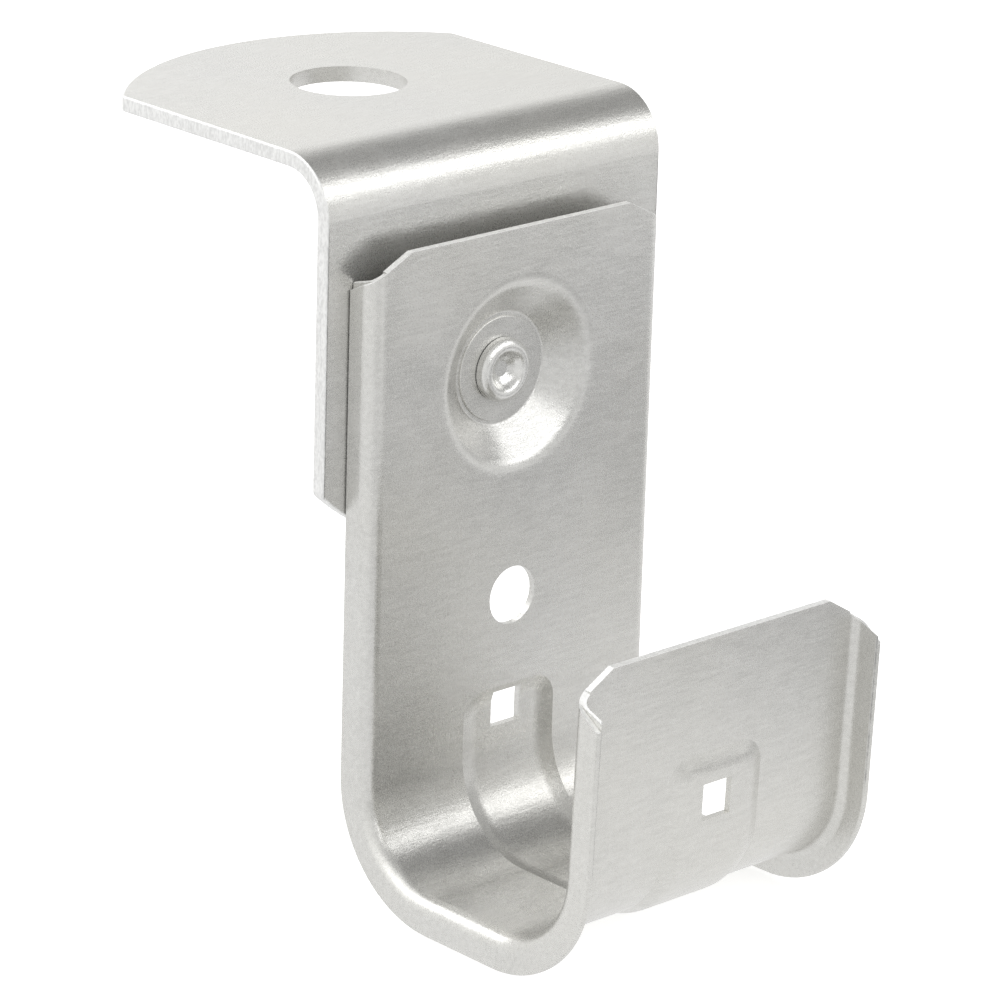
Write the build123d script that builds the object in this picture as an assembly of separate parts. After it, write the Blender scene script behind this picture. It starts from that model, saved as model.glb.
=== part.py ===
from build123d import *
import math
import os

# Open cable hook ("J-hook") swivelling on a sheet-steel angle bracket.
# Frame, in mm: the origin is the centre of the big hole in the bracket's top
# flange, on its top face. +X runs across the hook, +Y away from the mouth of
# the hook, +Z up.

# ---------------------------------------------------------------- bracket
BRK_T = 1.9            # bracket sheet thickness
BRK_HALF_W = 25.9      # half the width of flange and leg
BRK_BEND_R = 7.0       # outside radius of the 90 degree bend
BRK_HOLE_SETBACK = 26.5  # front face of the leg to the centre of the flange hole
BRK_HOLE_D = 14.0      # fixing hole in the flange, clearance for a 1/2 in rod
BRK_SIDE_BACK = 36.8  # leg face to where the straight flange sides end
BRK_END_R = 34.0       # radius of the rounded far end of the flange
LEG_END_R = 38.0       # radius of the rounded lower end of the leg
LEG_SIDE_END_Z = -39.4  # height at which the straight sides of the leg end
BRK_EDGE_R = 0.3       # rounding left by shearing and plating

# ------------------------------------------------------------------- hook
T = 0.85               # hook sheet thickness
HALF_W = 22.6          # half the overall width
LIP = 4.3              # height of the turned-out edges, from the cable side
LIP_R = 2.0            # outside radius of their bends
FREE_EDGE_R = 0.25     # rounding of the free edges
PLAY = 0.1             # gap between moving faces
GAP_IN = 33.3          # inside, back plate to front plate
TROUGH_R = 11.0        # inside radius of the two bends of the trough
TOP_Z = -10.8          # top edge of the back plate
TOP_HALF = 17.0        # half the length of that edge between its chamfers
CHAMFER_SLOPE = 0.50   # drop of the top chamfers per mm across the flat sheet
TROUGH_Z = -85.1       # cable side of the trough floor
FRONT_TOP_Z = -49.8    # top edge of the front plate
FRONT_TOP_HALF = 17.2
FRONT_SLOPE = 0.60     # drop of its chamfers
FRONT_LEAN = 2.0       # degrees the front plate leans out from upright

PIVOT_Z = -28.6        # rivet axis
DISH_R_OUT = 11.2      # dished seat round the rivet, at the plate
DISH_R_FLOOR = 6.8     # radius of its flat floor
DISH_DEPTH = 3.4
COIN_R = 6.35          # flat disc coined round the rivet, standing on the dish's floor
COIN_H = 0.2
ROUND_HOLE_Z = -55.7
ROUND_HOLE_D = 7.1     # clearance hole for a 1/4 in screw
SQ_BACK_Z = -69.8      # square hole in the back plate
SQ_FRONT_Z = -69.8     # square hole in the front plate
SQ_SIDE = 4.5
RIB_HALF = 7.2         # half width of the stiffening rib
RIB_DEPTH = 0.65
RIB_RUN = 2.6          # width of the rib's soft S-shaped walls
RIB_BACK_TOP_Z = -66.8
RIB_FRONT_TOP_Z = -64.0
RIB_CORNER_R = 3.2

# ------------------------------------------------------------------ rivet
SHANK_D = 5.0
PIVOT_CLEAR = 0.05     # radial
HEAD_D = 7.7
HEAD_H = 1.35
REAR_HEAD_D = 9.4
REAR_HEAD_H = 1.5

# ---------------------------------------------------------------- derived
LEG_FRONT_Y = -BRK_HOLE_SETBACK
LEG_REAR_Y = LEG_FRONT_Y + BRK_T
Y0 = LEG_FRONT_Y - PLAY - LIP          # cable side of the back plate
YF = Y0 - GAP_IN                       # cable side of the front plate
ARC_Z = TROUGH_Z + TROUGH_R


def poly_face(points, plane):
    """A flat face from 2-D points on a plane."""
    return plane * make_face(Polyline(*points, close=True))


# ============================================================ angle bracket
def build_bracket():
    ro, ri = BRK_BEND_R, BRK_BEND_R - BRK_T
    y_far = LEG_FRONT_Y + BRK_SIDE_BACK + 14
    z_low = LEG_SIDE_END_Z - 14
    # side view (u = Y, v = Z)
    outline = Polyline(
        (LEG_FRONT_Y, z_low), (LEG_FRONT_Y, -ro)
    ) + RadiusArc((LEG_FRONT_Y, -ro), (LEG_FRONT_Y + ro, 0), ro) + Polyline(
        (LEG_FRONT_Y + ro, 0), (y_far, 0), (y_far, -BRK_T), (LEG_FRONT_Y + ro, -BRK_T)
    ) + RadiusArc((LEG_FRONT_Y + ro, -BRK_T), (LEG_REAR_Y, -ro), -ri) + Polyline(
        (LEG_REAR_Y, -ro), (LEG_REAR_Y, z_low), (LEG_FRONT_Y, z_low)
    )
    side = Plane.YZ * make_face(outline.edges())
    body = extrude(side, amount=BRK_HALF_W, both=True)

    sag = BRK_END_R - math.sqrt(BRK_END_R**2 - BRK_HALF_W**2)
    # rounded far end of the flange
    y_side = LEG_FRONT_Y + BRK_SIDE_BACK
    y_peak = y_side + sag
    keep_f = Pos(0, y_peak - BRK_END_R, -BRK_T / 2) * Cylinder(BRK_END_R, 20)
    keep_f += Pos(0, y_side - 40, -BRK_T / 2) * Box(2 * BRK_HALF_W + 4, 80, 20)
    # rounded lower end of the leg
    z_peak = LEG_SIDE_END_Z - LEG_END_R + math.sqrt(LEG_END_R**2 - BRK_HALF_W**2)
    keep_l = Pos(0, LEG_FRONT_Y, z_peak + LEG_END_R) * Rot(90, 0, 0) * Cylinder(LEG_END_R, 20)
    keep_l += Pos(0, LEG_FRONT_Y, LEG_SIDE_END_Z + 40) * Box(2 * BRK_HALF_W + 4, 20, 80)
    flange = body & (Pos(0, 40 + LEG_FRONT_Y + ro, 0) * Box(80, 80, 40)) & keep_f
    bend = body & (Pos(0, LEG_FRONT_Y + ro / 2, -ro / 2) * Box(80, ro, ro))
    leg = body & (Pos(0, LEG_FRONT_Y + ro / 2, -ro - 40) * Box(80, ro, 80)) & keep_l
    body = (flange + bend + leg).clean()

    # corners where the rounded ends meet the straight sides
    corners = [e for e in body.edges() if abs(e.length - BRK_T) < 1e-3 and e.geom_type == GeomType.LINE]
    body = fillet(corners, 1.0)
    # sheared edges, slightly rounded all round the outline
    rims = [
        e for e in body.edges()
        if abs(e.length - BRK_T) > 1e-3
        and not (abs(e.center().X) < 1e-3 and e.geom_type == GeomType.LINE)
    ]
    body = fillet(rims, BRK_EDGE_R)

    body -= Cylinder(BRK_HOLE_D / 2, 10)
    body -= Pos(0, LEG_FRONT_Y, PIVOT_Z) * Rot(90, 0, 0) * Cylinder(SHANK_D / 2, 10)
    return body


# ==================================================================== hook
def lip_section():
    """Cross-section of the hook's sheet: u across, v out from the cable side."""
    w, ro, ri, lip, t, e = HALF_W, LIP_R, LIP_R - T, LIP, T, FREE_EDGE_R
    right = (
        Line((0, 0), (w - ro, 0))
        + RadiusArc((w - ro, 0), (w, ro), -ro)
        + Line((w, ro), (w, lip - e))
        + RadiusArc((w, lip - e), (w - e, lip), -e)
        + Line((w - e, lip), (w - t + e, lip))
        + RadiusArc((w - t + e, lip), (w - t, lip - e), -e)
        + Line((w - t, lip - e), (w - t, ro))
        + RadiusArc((w - t, ro), (w - ro, t), ri)
        + Line((w - ro, t), (0, t))
        + Line((0, t), (0, 0))
    )
    half = make_face(right.edges())
    return (half + mirror(half, about=Plane.YZ)).clean()


def leaning(shape):
    """Tip a piece of the front plate out about the centre of its bend."""
    pivot = Pos(0, YF + TROUGH_R, ARC_Z)
    return pivot * Rot(FRONT_LEAN, 0, 0) * pivot.inverse() * shape


def along_hook(section, z_back_top, z_front_top):
    """Carry a cross-section down the back plate, round the trough and up the front."""
    # back plate: v points to +Y
    pl = Plane(origin=(0, Y0, ARC_Z), x_dir=(1, 0, 0), z_dir=(0, 0, 1))
    back = extrude(pl * section, amount=z_back_top - ARC_Z)
    rear_bend = revolve(pl * section, axis=Axis((0, Y0 - TROUGH_R, ARC_Z), (-1, 0, 0)), revolution_arc=90)
    # floor: v points down
    pf = Plane(origin=(0, Y0 - TROUGH_R, TROUGH_Z), x_dir=(1, 0, 0), z_dir=(0, 1, 0))
    floor = extrude(pf * section, amount=-(GAP_IN - 2 * TROUGH_R))
    # front plate: v points to -Y
    pr = Plane(origin=(0, YF, ARC_Z), x_dir=(1, 0, 0), z_dir=(0, 0, -1))
    front = leaning(extrude(pr * section, amount=-(z_front_top - ARC_Z)))
    front_bend = leaning(revolve(pr * section, axis=Axis((0, YF + TROUGH_R, ARC_Z), (1, 0, 0)),
                                 revolution_arc=90 - FRONT_LEAN))
    return [back, rear_bend, floor, front_bend, front]


def chamfers(z_top, half_top, y_face, out, slope):
    """Cutters for the two top corners of a plate; out is +1 or -1, the way the lips point.
    The corner is a straight line across the flat blank, so on the bent sheet it keeps
    dropping by the same slope along the surface, over the flat, the bend and the lip."""
    cuts = []
    flat = HALF_W - LIP_R
    wrap = math.pi / 2 - 1                    # extra run along the bend, in bend radii
    z_bend = z_top - slope * (flat - half_top)
    z_lip0 = z_bend - slope * wrap * LIP_R
    mid = 0.7 * LIP_R                         # half-way round the bend
    for sx in (-1, 1):
        wedge = poly_face(
            [(sx * half_top, z_top), (sx * (half_top + 12), z_top - 12 * slope),
             (sx * (half_top + 12), z_top + 6), (sx * half_top, z_top + 6)],
            Plane.XZ,
        )
        cuts.append(Pos(0, y_face, 0) * extrude(wedge, amount=12, both=True))
        # first half of the bend
        over = Plane(origin=(sx * flat, y_face, z_bend), x_dir=(1, 0, -sx * slope),
                     z_dir=(sx * slope, out * slope * wrap, 1))
        first = over * (Pos(0, 0, 10) * Box(40, 40, 20))
        cuts.append(first & (Pos(sx * (flat + mid / 2), y_face, z_bend) * Box(mid, 24, 16)))
        # second half of the bend and the lip
        y_end = y_face + out * 8
        lip_cut = poly_face(
            [(y_face - out * 1.0, z_lip0 + slope), (y_end, z_lip0 - 8 * slope),
             (y_end, z_top + 6), (y_face - out * 1.0, z_top + 6)],
            Plane.YZ,
        )
        lip_cut = extrude(lip_cut, amount=6)
        x_in = flat + mid
        cuts.append(Pos(x_in if sx > 0 else -x_in - 6, 0, 0) * lip_cut)
    return cuts


def rib_wall(reach, v0, v1):
    """Half of the rib's cross-section: u from its middle to reach, v out from the
    cable side, with an S-shaped wall from the skin at v1 up to the rib's crown."""
    v2 = v1 + RIB_DEPTH
    return make_face([
        Line((0, v0), (reach, v0)),
        Line((reach, v0), (reach, v1)),
        Spline((reach, v1), (reach - RIB_RUN, v2), tangents=[(-1, 0.3), (-1, 0)]),
        Line((reach - RIB_RUN, v2), (0, v2)),
        Line((0, v2), (0, v0)),
    ])


def rib_solid(extra, lift, sink):
    """The rib's band: lift 0 is the recess on the cable side, lift T the raised outside.
    extra widens it, sink carries it past the skin it starts from."""
    w, rc = RIB_HALF + extra, RIB_CORNER_R + extra
    half = rib_wall(w, lift - sink, lift)
    sec = (half + mirror(half, about=Plane.YZ)).clean()
    zc_back, zc_front = RIB_BACK_TOP_Z - RIB_CORNER_R, RIB_FRONT_TOP_Z - RIB_CORNER_R
    parts = along_hook(sec, zc_back, zc_front)
    end = rib_wall(rc, lift - sink, lift)

    def cap(y_face, z_c, out):
        """Rounded top end of the rib: two quarter turns and the straight between."""
        corner_plane = Plane(origin=(w - rc, y_face, z_c), x_dir=(1, 0, 0), z_dir=(0, 0, out))
        corner = revolve(corner_plane * end, axis=Axis((w - rc, y_face, z_c), (0, -1, 0)),
                         revolution_arc=90)
        top_plane = Plane(origin=(0, y_face, z_c), x_dir=(0, 0, 1), z_dir=(-out, 0, 0))
        top = extrude(top_plane * end, amount=w - rc, both=True)
        return top + corner + mirror(corner, about=Plane.YZ)

    back, front = cap(Y0, zc_back, 1), leaning(cap(YF, zc_front, -1))
    solid = parts[0]
    for p in parts[1:] + [back, front]:
        solid += p
    return solid.clean()


def dish_profile():
    """Half section of the dished seat: (radius, depth) points with rounded shoulders."""
    t, d = T, DISH_DEPTH
    r1, r2 = DISH_R_OUT, DISH_R_FLOOR
    hole = SHANK_D / 2 + PIVOT_CLEAR
    rim = r1 + 2.0
    ang = math.atan2(d, r1 - r2)
    # back surface: the cone moved out by the sheet thickness
    k = t * math.tan(ang / 2)
    c, h = COIN_R, COIN_H
    front = [(rim, 0), (r1, 0), (r2, d), (c, d), (c - 0.06, d - h), (hole, d - h)]
    back = [(hole, d + t), (r2 + k, d + t), (r1 + k, t), (rim, t)]
    return front, back


def build_hook():
    parts = along_hook(lip_section(), TOP_Z, FRONT_TOP_Z)
    hook = parts[0]
    for p in parts[1:]:
        hook += p
    hook = hook.clean()
    for c in chamfers(TOP_Z, TOP_HALF, Y0, 1, CHAMFER_SLOPE):
        hook -= c
    for c in chamfers(FRONT_TOP_Z, FRONT_TOP_HALF, YF, -1, FRONT_SLOPE):
        hook -= leaning(c)

    # stiffening rib, raised outside and recessed on the cable side
    hook += rib_solid(0.25, T, 0.3)
    hook -= rib_solid(0.0, 0.0, 0.3)

    # dished seat for the rivet
    front, back = dish_profile()
    rim = front[0][0]
    hook -= Pos(0, Y0 + T / 2, PIVOT_Z) * Rot(90, 0, 0) * Cylinder(rim, T + 2)
    sec = make_face(Polyline(*(front + back), close=True))
    # each bend has a larger radius on its outer side
    for (x, y), r in ((front[1], 3.0), (back[2], 1.8), (front[2], 0.35), (front[4], 0.14), (back[1], 1.7)):
        corner = [v for v in sec.vertices() if abs(v.X - x) < 1e-6 and abs(v.Y - y) < 1e-6]
        sec = fillet(corner, r)
    dish = revolve(Plane.XY * sec, axis=Axis.Y)
    hook += Pos(0, Y0, PIVOT_Z) * dish

    # punched holes
    hook -= Pos(0, Y0, ROUND_HOLE_Z) * Rot(90, 0, 0) * Cylinder(ROUND_HOLE_D / 2, 10)
    hook -= Pos(0, Y0, SQ_BACK_Z) * Box(SQ_SIDE, 10, SQ_SIDE)
    hook -= leaning(Pos(0, YF, SQ_FRONT_Z) * Box(SQ_SIDE, 10, SQ_SIDE))
    return hook


# =================================================================== rivet
def build_rivet():
    r = SHANK_D / 2
    y_head = Y0 + DISH_DEPTH - COIN_H - PLAY      # underside of the front head
    y_rear = LEG_REAR_Y                  # underside of the rear head
    hr, hh = HEAD_D / 2, HEAD_H
    rr, rh = REAR_HEAD_D / 2, REAR_HEAD_H
    yf = y_head - hh                     # crown of the rolled front head
    # (radius, y) round the rivet; the front head points to -Y and is rolled
    # outwards round a crater with a small flat floor
    pit, lip = yf + 1.3, 2.95
    crater = [
        Line((0, pit), (0.95, pit)),
        Spline((0.95, pit), (1.7, yf + 0.85), (2.35, yf + 0.2), (lip, yf),
               tangents=[(0.8, -0.6), (1, 0)]),
    ]
    roll = Spline(
        (lip, yf), (3.45, yf + 0.2), (hr, y_head - 0.5), tangents=[(1, 0), (0, 1)]
    )
    dome = Spline(
        (rr, y_rear + 0.4), (rr * 0.72, y_rear + rh * 0.75), (0, y_rear + rh),
        tangents=[(-0.3, 1), (-1, 0)],
    )
    edge = [
        *crater, roll,
        Line((hr, y_head - 0.5), (hr, y_head)),
        Line((hr, y_head), (r, y_head)),
        Line((r, y_head), (r, y_rear)),
        Line((r, y_rear), (rr, y_rear)),
        Line((rr, y_rear), (rr, y_rear + 0.4)),
        dome,
        Line((0, y_rear + rh), (0, pit)),
    ]
    sec = make_face(edge)
    return Pos(0, 0, PIVOT_Z) * revolve(Plane.XY * sec, axis=Axis.Y)


def one(shape, name):
    solids = shape.solids()
    assert len(solids) == 1, (name, len(solids), [s.volume for s in solids])
    s = solids[0]
    assert s.is_valid, name
    s.label = name
    return s


os.makedirs("parts", exist_ok=True)
made = {
    "angle_bracket": build_bracket(),
    "j_hook": build_hook(),
    "rivet": build_rivet(),
}
for name, shape in made.items():
    solid = one(shape, name)
    export_step(solid, f"parts/{name}.step")
    bb = solid.bounding_box()
    print(name, round(solid.volume, 1), [round(v, 2) for v in (*bb.min, *bb.max)])
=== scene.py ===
import math

import bpy
from mathutils import Matrix, Vector

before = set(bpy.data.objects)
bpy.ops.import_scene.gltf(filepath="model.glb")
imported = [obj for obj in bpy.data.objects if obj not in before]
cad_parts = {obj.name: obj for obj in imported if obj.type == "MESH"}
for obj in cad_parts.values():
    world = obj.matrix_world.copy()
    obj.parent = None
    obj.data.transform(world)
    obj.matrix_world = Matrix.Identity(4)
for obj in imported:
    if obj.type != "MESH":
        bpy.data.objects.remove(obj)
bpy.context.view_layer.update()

MM = 0.001


# ------------------------------------------------------------------ materials
class Nodes:
    """Small helper that builds a node tree round one Principled shader."""

    def __init__(self, name):
        self.mat = bpy.data.materials.new(name)
        self.mat.use_nodes = True
        self.nt = self.mat.node_tree
        self.nt.nodes.clear()
        self.out = self.nt.nodes.new("ShaderNodeOutputMaterial")
        self.bsdf = self.nt.nodes.new("ShaderNodeBsdfPrincipled")
        self.nt.links.new(self.bsdf.outputs["BSDF"], self.out.inputs["Surface"])
        self.coord = self.nt.nodes.new("ShaderNodeTexCoord")
        self.xyz = None

    def link(self, a, b):
        self.nt.links.new(a, b)

    def _in(self, socket, value):
        if isinstance(value, (int, float, tuple, list)):
            socket.default_value = value
        else:
            self.link(value, socket)

    def mapping(self, scale=(1, 1, 1), rot=(0, 0, 0), loc=(0, 0, 0)):
        n = self.nt.nodes.new("ShaderNodeMapping")
        n.inputs["Scale"].default_value = scale
        n.inputs["Rotation"].default_value = rot
        n.inputs["Location"].default_value = loc
        self.link(self.coord.outputs["Object"], n.inputs["Vector"])
        return n.outputs["Vector"]

    def noise(self, vec, scale, detail=3.0, rough=0.55, distort=0.0):
        n = self.nt.nodes.new("ShaderNodeTexNoise")
        n.inputs["Scale"].default_value = scale
        n.inputs["Detail"].default_value = detail
        n.inputs["Roughness"].default_value = rough
        n.inputs["Distortion"].default_value = distort
        self.link(vec, n.inputs["Vector"])
        return n.outputs["Fac"]

    def ramp(self, fac, lo, hi, vlo=0.0, vhi=1.0, smooth=False):
        n = self.nt.nodes.new("ShaderNodeMapRange")
        n.interpolation_type = "SMOOTHSTEP" if smooth else "LINEAR"
        n.inputs["From Min"].default_value = lo
        n.inputs["From Max"].default_value = hi
        n.inputs["To Min"].default_value = vlo
        n.inputs["To Max"].default_value = vhi
        self.link(fac, n.inputs["Value"])
        return n.outputs["Result"]

    def math(self, op, a, b=None, clamp=False):
        n = self.nt.nodes.new("ShaderNodeMath")
        n.operation = op
        n.use_clamp = clamp
        self._in(n.inputs[0], a)
        if b is not None:
            self._in(n.inputs[1], b)
        return n.outputs[0]

    def add(self, *terms):
        total = terms[0]
        for t in terms[1:]:
            total = self.math("ADD", total, t)
        return total

    def mul(self, *terms):
        total = terms[0]
        for t in terms[1:]:
            total = self.math("MULTIPLY", total, t)
        return total

    def top(self, *terms):
        total = terms[0]
        for t in terms[1:]:
            total = self.math("MAXIMUM", total, t)
        return total

    def mix(self, fac, a, b):
        n = self.nt.nodes.new("ShaderNodeMix")
        n.data_type = "RGBA"
        self._in(n.inputs["Factor"], fac)
        self._in([i for i in n.inputs if i.name == "A" and i.type == "RGBA"][0], a)
        self._in([i for i in n.inputs if i.name == "B" and i.type == "RGBA"][0], b)
        return [o for o in n.outputs if o.type == "RGBA"][0]

    def bump(self, height, strength, distance, normal=None):
        n = self.nt.nodes.new("ShaderNodeBump")
        n.inputs["Strength"].default_value = strength
        n.inputs["Distance"].default_value = distance
        self.link(height, n.inputs["Height"])
        if normal is not None:
            self.link(normal, n.inputs["Normal"])
        return n.outputs["Normal"]

    # position on the part, in millimetres
    def position(self):
        if self.xyz is None:
            v = self.mapping((1000, 1000, 1000))
            n = self.nt.nodes.new("ShaderNodeSeparateXYZ")
            self.link(v, n.inputs[0])
            self.xyz = n.outputs
        return self.xyz

    def above(self, value, edge, soft):
        """1 where value is over edge, fading in over soft below it."""
        return self.ramp(value, edge - soft, edge, 0.0, 1.0, True)


def zinc(name, light, dark, rough, grain_axis, seed, metal=0.78, cut=None, cut_highlight_tones=(0.70, 0.86), line=None):
    """Satin zinc-plated sheet: fine rolled grain, plating crystals, faint clouds.

    cut(m) gives a 0..1 mask of the sheared edges, which are rougher and are painted brighter: a painted highlight for
    the light their burrs catch.
    """
    m = Nodes(name)
    # rolled grain, drawn out along one axis
    stretch = [1900, 1900, 1900]
    stretch[grain_axis] = 330
    grain = m.noise(m.mapping(tuple(stretch), loc=(seed, seed * 0.7, 0)), 1.0, 3.0, 0.6)
    # crystals of the plating: fine about 0.15 mm, coarse about 0.5 mm
    fine = m.noise(m.mapping(loc=(seed * 1.3, 0, 0.4)), 6500.0, 2.0, 0.6)
    coarse = m.noise(m.mapping(loc=(0, seed, 0.2)), 2100.0, 3.0, 0.6)
    cloud = m.noise(m.mapping(loc=(seed, 0, 0)), 110.0, 4.0, 0.6, 0.6)
    wide = m.noise(m.mapping(loc=(0, 0, seed)), 26.0, 2.0, 0.5)
    tone = m.add(m.mul(grain, 0.30), m.mul(fine, 0.34), m.mul(coarse, 0.22), m.mul(cloud, 0.14))
    col = m.mix(m.ramp(tone, 0.38, 0.62), (*dark, 1), (*light, 1))
    warm = m.ramp(wide, 0.35, 0.65)
    col = m.mix(m.mul(warm, 0.35), col, (light[0], light[1] * 0.985, light[2] * 0.93, 1))
    rgh = m.ramp(m.add(m.mul(fine, 0.6), m.mul(cloud, 0.4)), 0.32, 0.68, rough - 0.10, rough + 0.12)
    height = m.add(m.mul(grain, 0.7), m.mul(coarse, 0.5))
    if cut is not None:
        mask = cut(m)
        # short vertical shear lines and torn specks on the cut faces
        tear = m.noise(m.mapping((3000, 3000, 1400), loc=(seed, 1, 2)), 1.0, 3.0, 0.65)
        # painted highlight: the sheared faces are coloured near white to stand in for the light their burrs catch;
        # the specks are real shear texture
        lo_t, hi_t = cut_highlight_tones
        cut_highlight_col = m.mix(m.ramp(tear, 0.36, 0.62), (lo_t, lo_t, lo_t * 0.99, 1), (hi_t, hi_t, hi_t * 0.99, 1))
        col = m.mix(mask, col, cut_highlight_col)
        rgh = m.add(m.mul(rgh, m.math("SUBTRACT", 1.0, mask)), m.mul(mask, 0.46))
        height = m.add(height, m.mul(mask, tear, 1.6))
    if line is not None:
        # a dark broken line painted where line(m) marks: painted shade at the inner corner of the hook's free edges,
        # and a plain dark line along the bracket's leg edges
        broken = m.ramp(m.noise(m.mapping((900, 900, 900), loc=(seed, 3, 1)), 1.0, 2.0, 0.5), 0.36, 0.56, 0.45, 1.0)
        col = m.mix(m.mul(line(m), broken, 0.62), col, (0.13, 0.13, 0.13, 1))
    m.link(col, m.bsdf.inputs["Base Color"])
    m.link(rgh, m.bsdf.inputs["Roughness"])
    m.bsdf.inputs["Metallic"].default_value = metal
    m.bsdf.inputs["Specular IOR Level"].default_value = 0.4
    n1 = m.bump(height, 0.5, 0.00006)
    n2 = m.bump(fine, 0.45, 0.00004, n1)
    m.link(n2, m.bsdf.inputs["Normal"])
    return m


def bracket_cut(m):
    """Sheared outline of the bracket: its straight sides and both rounded ends."""
    x, y, z = m.position()[0], m.position()[1], m.position()[2]
    side = m.above(m.math("ABSOLUTE", x), 25.72, 0.10)
    # far end of the flange, an arc of radius 34 about (0, y_c)
    y_c = 22.27 - 34.0
    r = m.math("SQRT", m.add(m.mul(x, x), m.mul(m.math("SUBTRACT", y, y_c), m.math("SUBTRACT", y, y_c))))
    far = m.mul(m.above(r, 33.82, 0.10), m.above(y, 8.0, 0.5))
    # lower end of the leg, an arc of radius 38 about (0, z_c)
    z_c = -49.59 + 38.0
    q = m.math("SQRT", m.add(m.mul(x, x), m.mul(m.math("SUBTRACT", z, z_c), m.math("SUBTRACT", z, z_c))))
    low = m.mul(m.above(q, 37.82, 0.10), m.above(m.mul(z, -1.0), 38.0, 0.5))
    return m.top(side, far, low)


def hook_cut(m):
    """Sheared top edges and chamfers of both plates."""
    x, y, z = m.position()[0], m.position()[1], m.position()[2]
    ax = m.math("ABSOLUTE", x)

    def plate(z_top, half, slope, y_face, out, lean):
        # height of the sheet's cut edge over (x, y): flat, first half of the bend,
        # second half of the bend with the lip
        bend = 2.0
        wrap = math.pi / 2 - 1
        over = m.math("MAXIMUM", m.math("SUBTRACT", ax, half), 0.0)
        flat = 22.6 - bend
        z_bend = z_top - slope * (flat - half)
        z_lip0 = z_bend - slope * wrap * bend
        # upright coordinates of the leaning plate
        if lean:
            c, s = math.cos(math.radians(lean)), math.sin(math.radians(lean))
            yp, zp = -64.2 + 11.0, -74.1
            dy, dz = m.math("SUBTRACT", y, yp), m.math("SUBTRACT", z, zp)
            yy = m.add(m.mul(dy, c), m.mul(dz, s), yp)
            zz = m.add(m.mul(dz, c), m.mul(dy, -s), zp)
        else:
            yy, zz = y, z
        depth = m.mul(m.math("SUBTRACT", yy, y_face), float(out))
        line_flat = m.math("SUBTRACT", zz, m.math("SUBTRACT", z_top, m.mul(over, slope)))
        on_flat = m.above(line_flat, -0.03, 0.05)
        line_bend = m.add(line_flat, m.mul(depth, slope * wrap))
        on_bend = m.mul(m.above(line_bend, -0.03, 0.05), m.above(ax, flat + 0.10, 0.1))
        line_lip = m.add(zz, m.mul(depth, slope), -z_lip0)
        on_lip = m.mul(m.above(line_lip, -0.03, 0.05), m.above(ax, flat + 0.7 * bend + 0.1, 0.1))
        return m.top(on_flat, on_bend, on_lip)

    back = m.mul(plate(-10.8, 17.0, 0.50, -30.9, 1, 0), m.above(y, -40.0, 0.5))
    front = m.mul(plate(-49.8, 17.2, 0.60, -64.2, -1, 2.0), m.above(m.mul(y, -1.0), 55.0, 0.5))
    return m.top(back, front)


def near(m, value, centre, half):
    """1 where value is at centre, falling to 0 half away from it."""
    return m.ramp(m.math("ABSOLUTE", m.math("SUBTRACT", value, centre)), 0.0, half, 1.0, 0.0, True)


def bracket_line(m):
    """Both long edges of the leg, on its front."""
    x, y, z = m.position()[0], m.position()[1], m.position()[2]
    on_leg = m.mul(m.above(m.mul(z, -1.0), 9.0, 2.0), m.above(m.mul(y, -1.0), 26.38, 0.08))
    return m.mul(near(m, m.math("ABSOLUTE", x), 25.63, 0.13), on_leg)


def hook_free_edge_shade(m):
    """Painted shade: a dark line at the inner corner of the turned-out free edges of both plates."""
    x, y, z = m.position()[0], m.position()[1], m.position()[2]
    at_x = near(m, m.math("ABSOLUTE", x), 21.86, 0.17)
    # the front plate leans, so its free edge moves out with height
    lean = m.mul(m.math("SUBTRACT", z, -74.1), math.tan(math.radians(2.0)))
    edge = m.math("SUBTRACT", -64.2 - 4.3, lean)
    front = m.mul(m.above(m.math("SUBTRACT", edge, y), -0.05, 0.22), m.above(z, -72.0, 3.0))
    return m.mul(at_x, front)


bracket_mat = zinc("bracket_zinc", (0.74, 0.737, 0.722), (0.59, 0.587, 0.573), 0.29, 0, 3.1,
                   cut=bracket_cut, line=bracket_line)
# the hook's sheared edges get the brightest painted highlight tones
hook_mat = zinc("hook_zinc", (0.72, 0.716, 0.698), (0.56, 0.556, 0.541), 0.28, 0, 7.7,
                cut=hook_cut, cut_highlight_tones=(0.84, 0.98), line=hook_free_edge_shade)
rivet_mat = zinc("rivet_zinc", (0.76, 0.758, 0.745), (0.66, 0.658, 0.645), 0.24, 1, 1.9, 0.9)

for node, mat in (("angle_bracket", bracket_mat), ("j_hook", hook_mat), ("rivet", rivet_mat)):
    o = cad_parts[node]
    if not o.material_slots:
        o.data.materials.append(mat.mat)
    for s in o.material_slots:
        s.material = mat.mat


# --------------------------------------------------------------------- stage
def mesh_object(name, verts, faces, smooth=True):
    me = bpy.data.meshes.new(name)
    me.from_pydata([tuple(v) for v in verts], [], faces)
    me.update()
    if smooth:
        for p in me.polygons:
            p.use_smooth = True
    o = bpy.data.objects.new(name, me)
    bpy.context.scene.collection.objects.link(o)
    return o


FLOOR_Z = -0.0896
R = 4.0
floor = mesh_object("floor", [(-R, -R, FLOOR_Z), (R, -R, FLOOR_Z), (R, R, FLOOR_Z), (-R, R, FLOOR_Z)], [(0, 1, 2, 3)])


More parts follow.
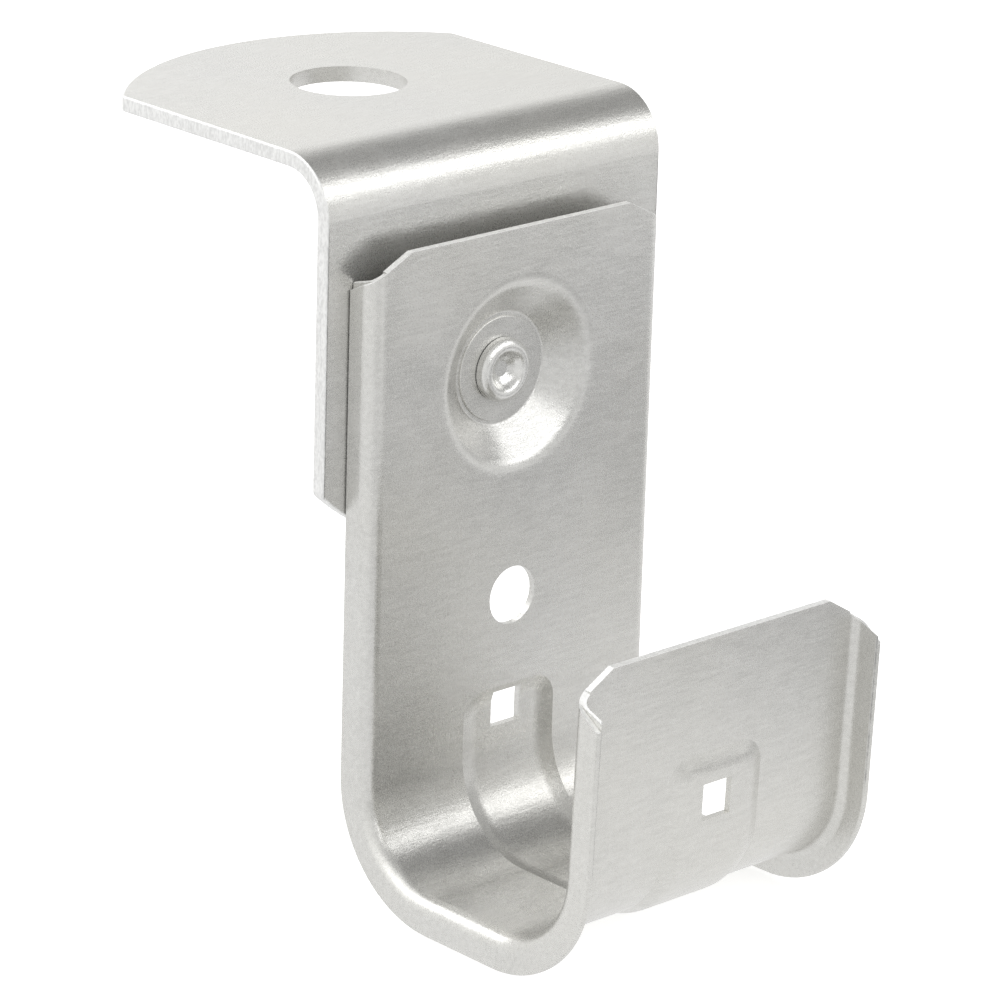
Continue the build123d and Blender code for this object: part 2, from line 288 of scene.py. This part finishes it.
def floor_material():
    """Pale paper. What shines back into the metal is a lit sweep: brightest near
    the object and to its left and back, dimmer towards the front."""
    m = Nodes("floor_paper")
    nt = m.nt
    fn = m.noise(m.mapping(), 60.0, 3.0)
    m.link(m.mix(fn, (0.90, 0.90, 0.90, 1), (0.92, 0.92, 0.92, 1)), m.bsdf.inputs["Base Color"])
    m.bsdf.inputs["Roughness"].default_value = 0.95
    m.bsdf.inputs["Specular IOR Level"].default_value = 0.1
    m.bsdf.inputs["Emission Color"].default_value = (1, 1, 1, 1)
    m.bsdf.inputs["Emission Strength"].default_value = 0.50
    x, y = m.position()[0], m.position()[1]

    def blob(cx, cy, rx, ry):
        u = m.mul(m.math("SUBTRACT", x, cx), 1.0 / rx)
        v = m.mul(m.math("SUBTRACT", y, cy), 1.0 / ry)
        return m.ramp(m.math("SQRT", m.add(m.mul(u, u), m.mul(v, v))), 0.55, 1.6, 1.0, 0.0, True)

    level = m.add(
        0.98,
        m.mul(blob(-85.0, -215.0, 75.0, 85.0), -0.26),
        m.mul(blob(140.0, -185.0, 90.0, 90.0), -0.54),
    )
    em = nt.nodes.new("ShaderNodeEmission")
    m.link(m.math("MAXIMUM", level, 0.1), em.inputs["Strength"])
    lp = nt.nodes.new("ShaderNodeLightPath")
    mx = nt.nodes.new("ShaderNodeMixShader")
    m.link(lp.outputs["Is Camera Ray"], mx.inputs[0])
    m.link(em.outputs[0], mx.inputs[1])
    m.link(m.bsdf.outputs[0], mx.inputs[2])
    m.link(mx.outputs[0], m.out.inputs["Surface"])
    return m.mat


floor.data.materials.append(floor_material())


def area(name, loc, target, size, power, size_y=None, color=(1, 1, 1)):
    li = bpy.data.lights.new(name, "AREA")
    li.shape = "RECTANGLE" if size_y else "SQUARE"
    li.size = size
    if size_y:
        li.size_y = size_y
    li.energy = power
    li.color = color
    o = bpy.data.objects.new(name, li)
    bpy.context.scene.collection.objects.link(o)
    o.location = loc
    d = Vector(target) - Vector(loc)
    o.rotation_euler = d.to_track_quat("-Z", "Y").to_euler()
    return o


T = Vector((0, -0.03, -0.045))


def direction(az, el):
    """Unit vector; az 0 is the front, -Y, and grows to the right, +X."""
    a, e = math.radians(az), math.radians(el)
    return Vector((math.sin(a) * math.cos(e), -math.cos(a) * math.cos(e), math.sin(e)))


def softbox(name, az, el, dist, width, height, radiance, target=T):
    d = direction(az, el)
    return area(name, target + d * dist, target, width, radiance * math.pi * width * height, height)


softbox("key_front_right", 20, 34.5, 0.85, 1.10, 0.34, 2.05)
softbox("hair_back", 187, 44, 0.85, 1.0, 0.30, 2.4)

# studio walls: an even white room, brighter low behind and on the left, with a
# dimmer ceiling
world = bpy.data.worlds.new("studio")
world.use_nodes = True
wt = world.node_tree
wt.nodes.clear()
w_out = wt.nodes.new("ShaderNodeOutputWorld")
w_bg = wt.nodes.new("ShaderNodeBackground")
w_tc = wt.nodes.new("ShaderNodeTexCoord")
wt.links.new(w_bg.outputs[0], w_out.inputs[0])
total = None
for az, el, inner, outer, gain in (
    (137, 13, 13, 36, 0.47),
    (225, 8, 25, 70, 0.42),
    (290, 5, 20, 60, 0.40),
    (106, 51, 14, 39, -0.35),
    (252, 50, 12, 36, 1.10),
    (42, 3, 6, 26, 0.35),
):
    dot = wt.nodes.new("ShaderNodeVectorMath")
    dot.operation = "DOT_PRODUCT"
    wt.links.new(w_tc.outputs["Generated"], dot.inputs[0])
    dot.inputs[1].default_value = direction(az, el)
    mr = wt.nodes.new("ShaderNodeMapRange")
    mr.interpolation_type = "SMOOTHSTEP"
    mr.inputs["From Min"].default_value = math.cos(math.radians(outer))
    mr.inputs["From Max"].default_value = math.cos(math.radians(inner))
    mr.inputs["To Max"].default_value = gain
    wt.links.new(dot.outputs["Value"], mr.inputs["Value"])
    if total is None:
        total = mr.outputs["Result"]
    else:
        m = wt.nodes.new("ShaderNodeMath")
        m.operation = "ADD"
        wt.links.new(total, m.inputs[0])
        wt.links.new(mr.outputs["Result"], m.inputs[1])
        total = m.outputs[0]
m = wt.nodes.new("ShaderNodeMath")
m.operation = "ADD"
wt.links.new(total, m.inputs[0])
m.inputs[1].default_value = 0.58
# the backdrop itself is plain white
lp = wt.nodes.new("ShaderNodeLightPath")
wm = wt.nodes.new("ShaderNodeMix")
wm.data_type = "FLOAT"
wt.links.new(lp.outputs["Is Camera Ray"], wm.inputs["Factor"])
wt.links.new(m.outputs[0], wm.inputs["A"])
wm.inputs["B"].default_value = 1.1
wt.links.new(wm.outputs["Result"], w_bg.inputs["Strength"])
w_bg.inputs["Color"].default_value = (1, 1, 0.99, 1)
bpy.context.scene.world = world

bpy.context.scene.view_settings.view_transform = "Standard"
bpy.context.scene.view_settings.look = "None"
bpy.context.scene.view_settings.exposure = 0.0

# -------------------------------------------------------------------- camera
cam = bpy.data.cameras.new("camera")
cam.sensor_width = 36.0
cam.lens = 5069.34 / 1000 * 36.0
cam.clip_start = 0.01
cam.clip_end = 20
co = bpy.data.objects.new("camera", cam)
bpy.context.scene.collection.objects.link(co)
right = Vector((0.7364207881508271, -0.6759215213088151, 0.028539793462669112))
up = Vector((0.2015994808209875, 0.25952237486184787, 0.9444605795260991))
back = Vector((-0.6457879467069846, -0.6897667968071844, 0.3273830996101255))
rot = Matrix((right, up, back)).transposed().to_4x4()
co.matrix_world = Matrix.Translation(Vector((-383.3415141200296, -437.77925020424414, 149.71939720232695)) * MM) @ rot
bpy.context.scene.camera = co
